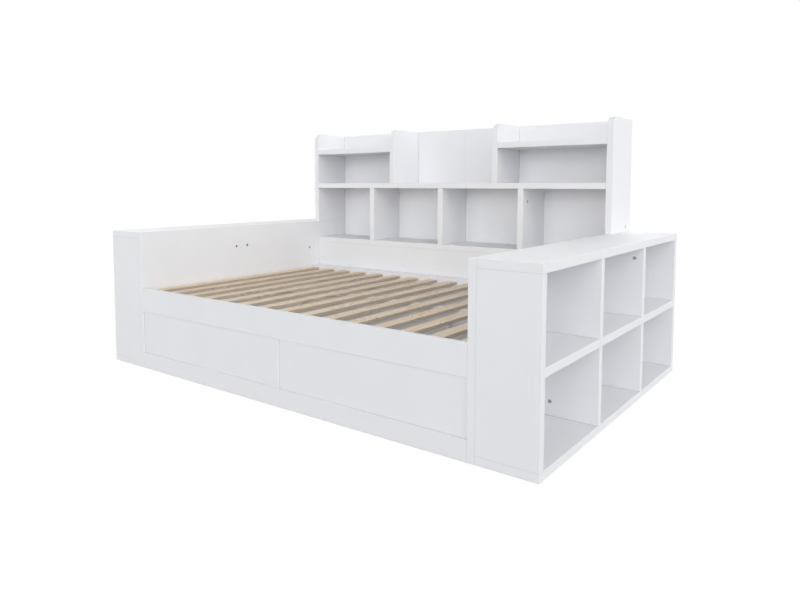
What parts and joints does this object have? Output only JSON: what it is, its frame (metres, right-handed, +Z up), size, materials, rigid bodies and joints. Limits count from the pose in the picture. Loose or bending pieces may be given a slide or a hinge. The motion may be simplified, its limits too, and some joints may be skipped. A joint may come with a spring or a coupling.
{
  "type": "bookcase headboard bed",
  "caption": "Painted daybed framed by bookcases: low outward-facing cubby units at both ends, a taller shelved back with rounded uprights, and a slatted pine deck behind a panelled front.",
  "frame": {"origin": "on the floor, under the middle of the bed's outer length and depth", "axes": "+X along the front, to the right as seen from the front; +Y from the front rail to the bookcase back; +Z up"},
  "size_m": [2.459, 1.62, 1.285],
  "materials": {
    "white_lacquer": "fibreboard, sprayed with semi-gloss white lacquer",
    "pine": "planed natural pine, knotty, uncoated",
    "zinc_fitting": "zinc-plated, satin"
  },
  "bodies": {
    "root": {"back_slat_ledge": "white_lacquer", "bed_back_board": "white_lacquer", "bookcase_bottom_board": "white_lacquer", "bookcase_centre_divider": "white_lacquer", "bookcase_left_back": "white_lacquer", "bookcase_left_divider": "white_lacquer", "bookcase_left_roof": "white_lacquer", "bookcase_left_side": "white_lacquer", "bookcase_left_upright": "white_lacquer", "bookcase_middle_shelf": "white_lacquer", "bookcase_right_back": "white_lacquer", "bookcase_right_divider": "white_lacquer", "bookcase_right_roof": "white_lacquer", "bookcase_right_side": "white_lacquer", "bookcase_right_upright": "white_lacquer", "cam_locks": "zinc_fitting", "centre_beam": "white_lacquer", "centre_leg_left": "white_lacquer", "centre_leg_right": "white_lacquer", "front_bottom_rail": "white_lacquer", "front_centre_stile": "white_lacquer", "front_left_panel": "white_lacquer", "front_right_panel": "white_lacquer", "front_slat_ledge": "pine", "front_top_rail": "white_lacquer", "left_unit_back_board": "white_lacquer", "left_unit_base": "white_lacquer", "left_unit_front_board": "white_lacquer", "left_unit_front_divider": "white_lacquer", "left_unit_inner_board": "white_lacquer", "left_unit_rear_divider": "white_lacquer", "left_unit_shelf": "white_lacquer", "left_unit_top": "white_lacquer", "rear_support_centre": "white_lacquer", "rear_support_left": "white_lacquer", "rear_support_right": "white_lacquer", "right_unit_back_board": "white_lacquer", "right_unit_base": "white_lacquer", "right_unit_front_board": "white_lacquer", "right_unit_front_divider": "white_lacquer", "right_unit_inner_board": "white_lacquer", "right_unit_rear_divider": "white_lacquer", "right_unit_shelf": "white_lacquer", "right_unit_top": "white_lacquer", "slat_01": "pine", "slat_02": "pine", "slat_03": "pine", "slat_04": "pine", "slat_05": "pine", "slat_06": "pine", "slat_07": "pine", "slat_08": "pine", "slat_09": "pine", "slat_10": "pine", "slat_11": "pine", "slat_12": "pine", "slat_13": "pine", "slat_14": "pine", "slat_15": "pine", "wall_bolts": "zinc_fitting"}
  },
  "joints": []
}
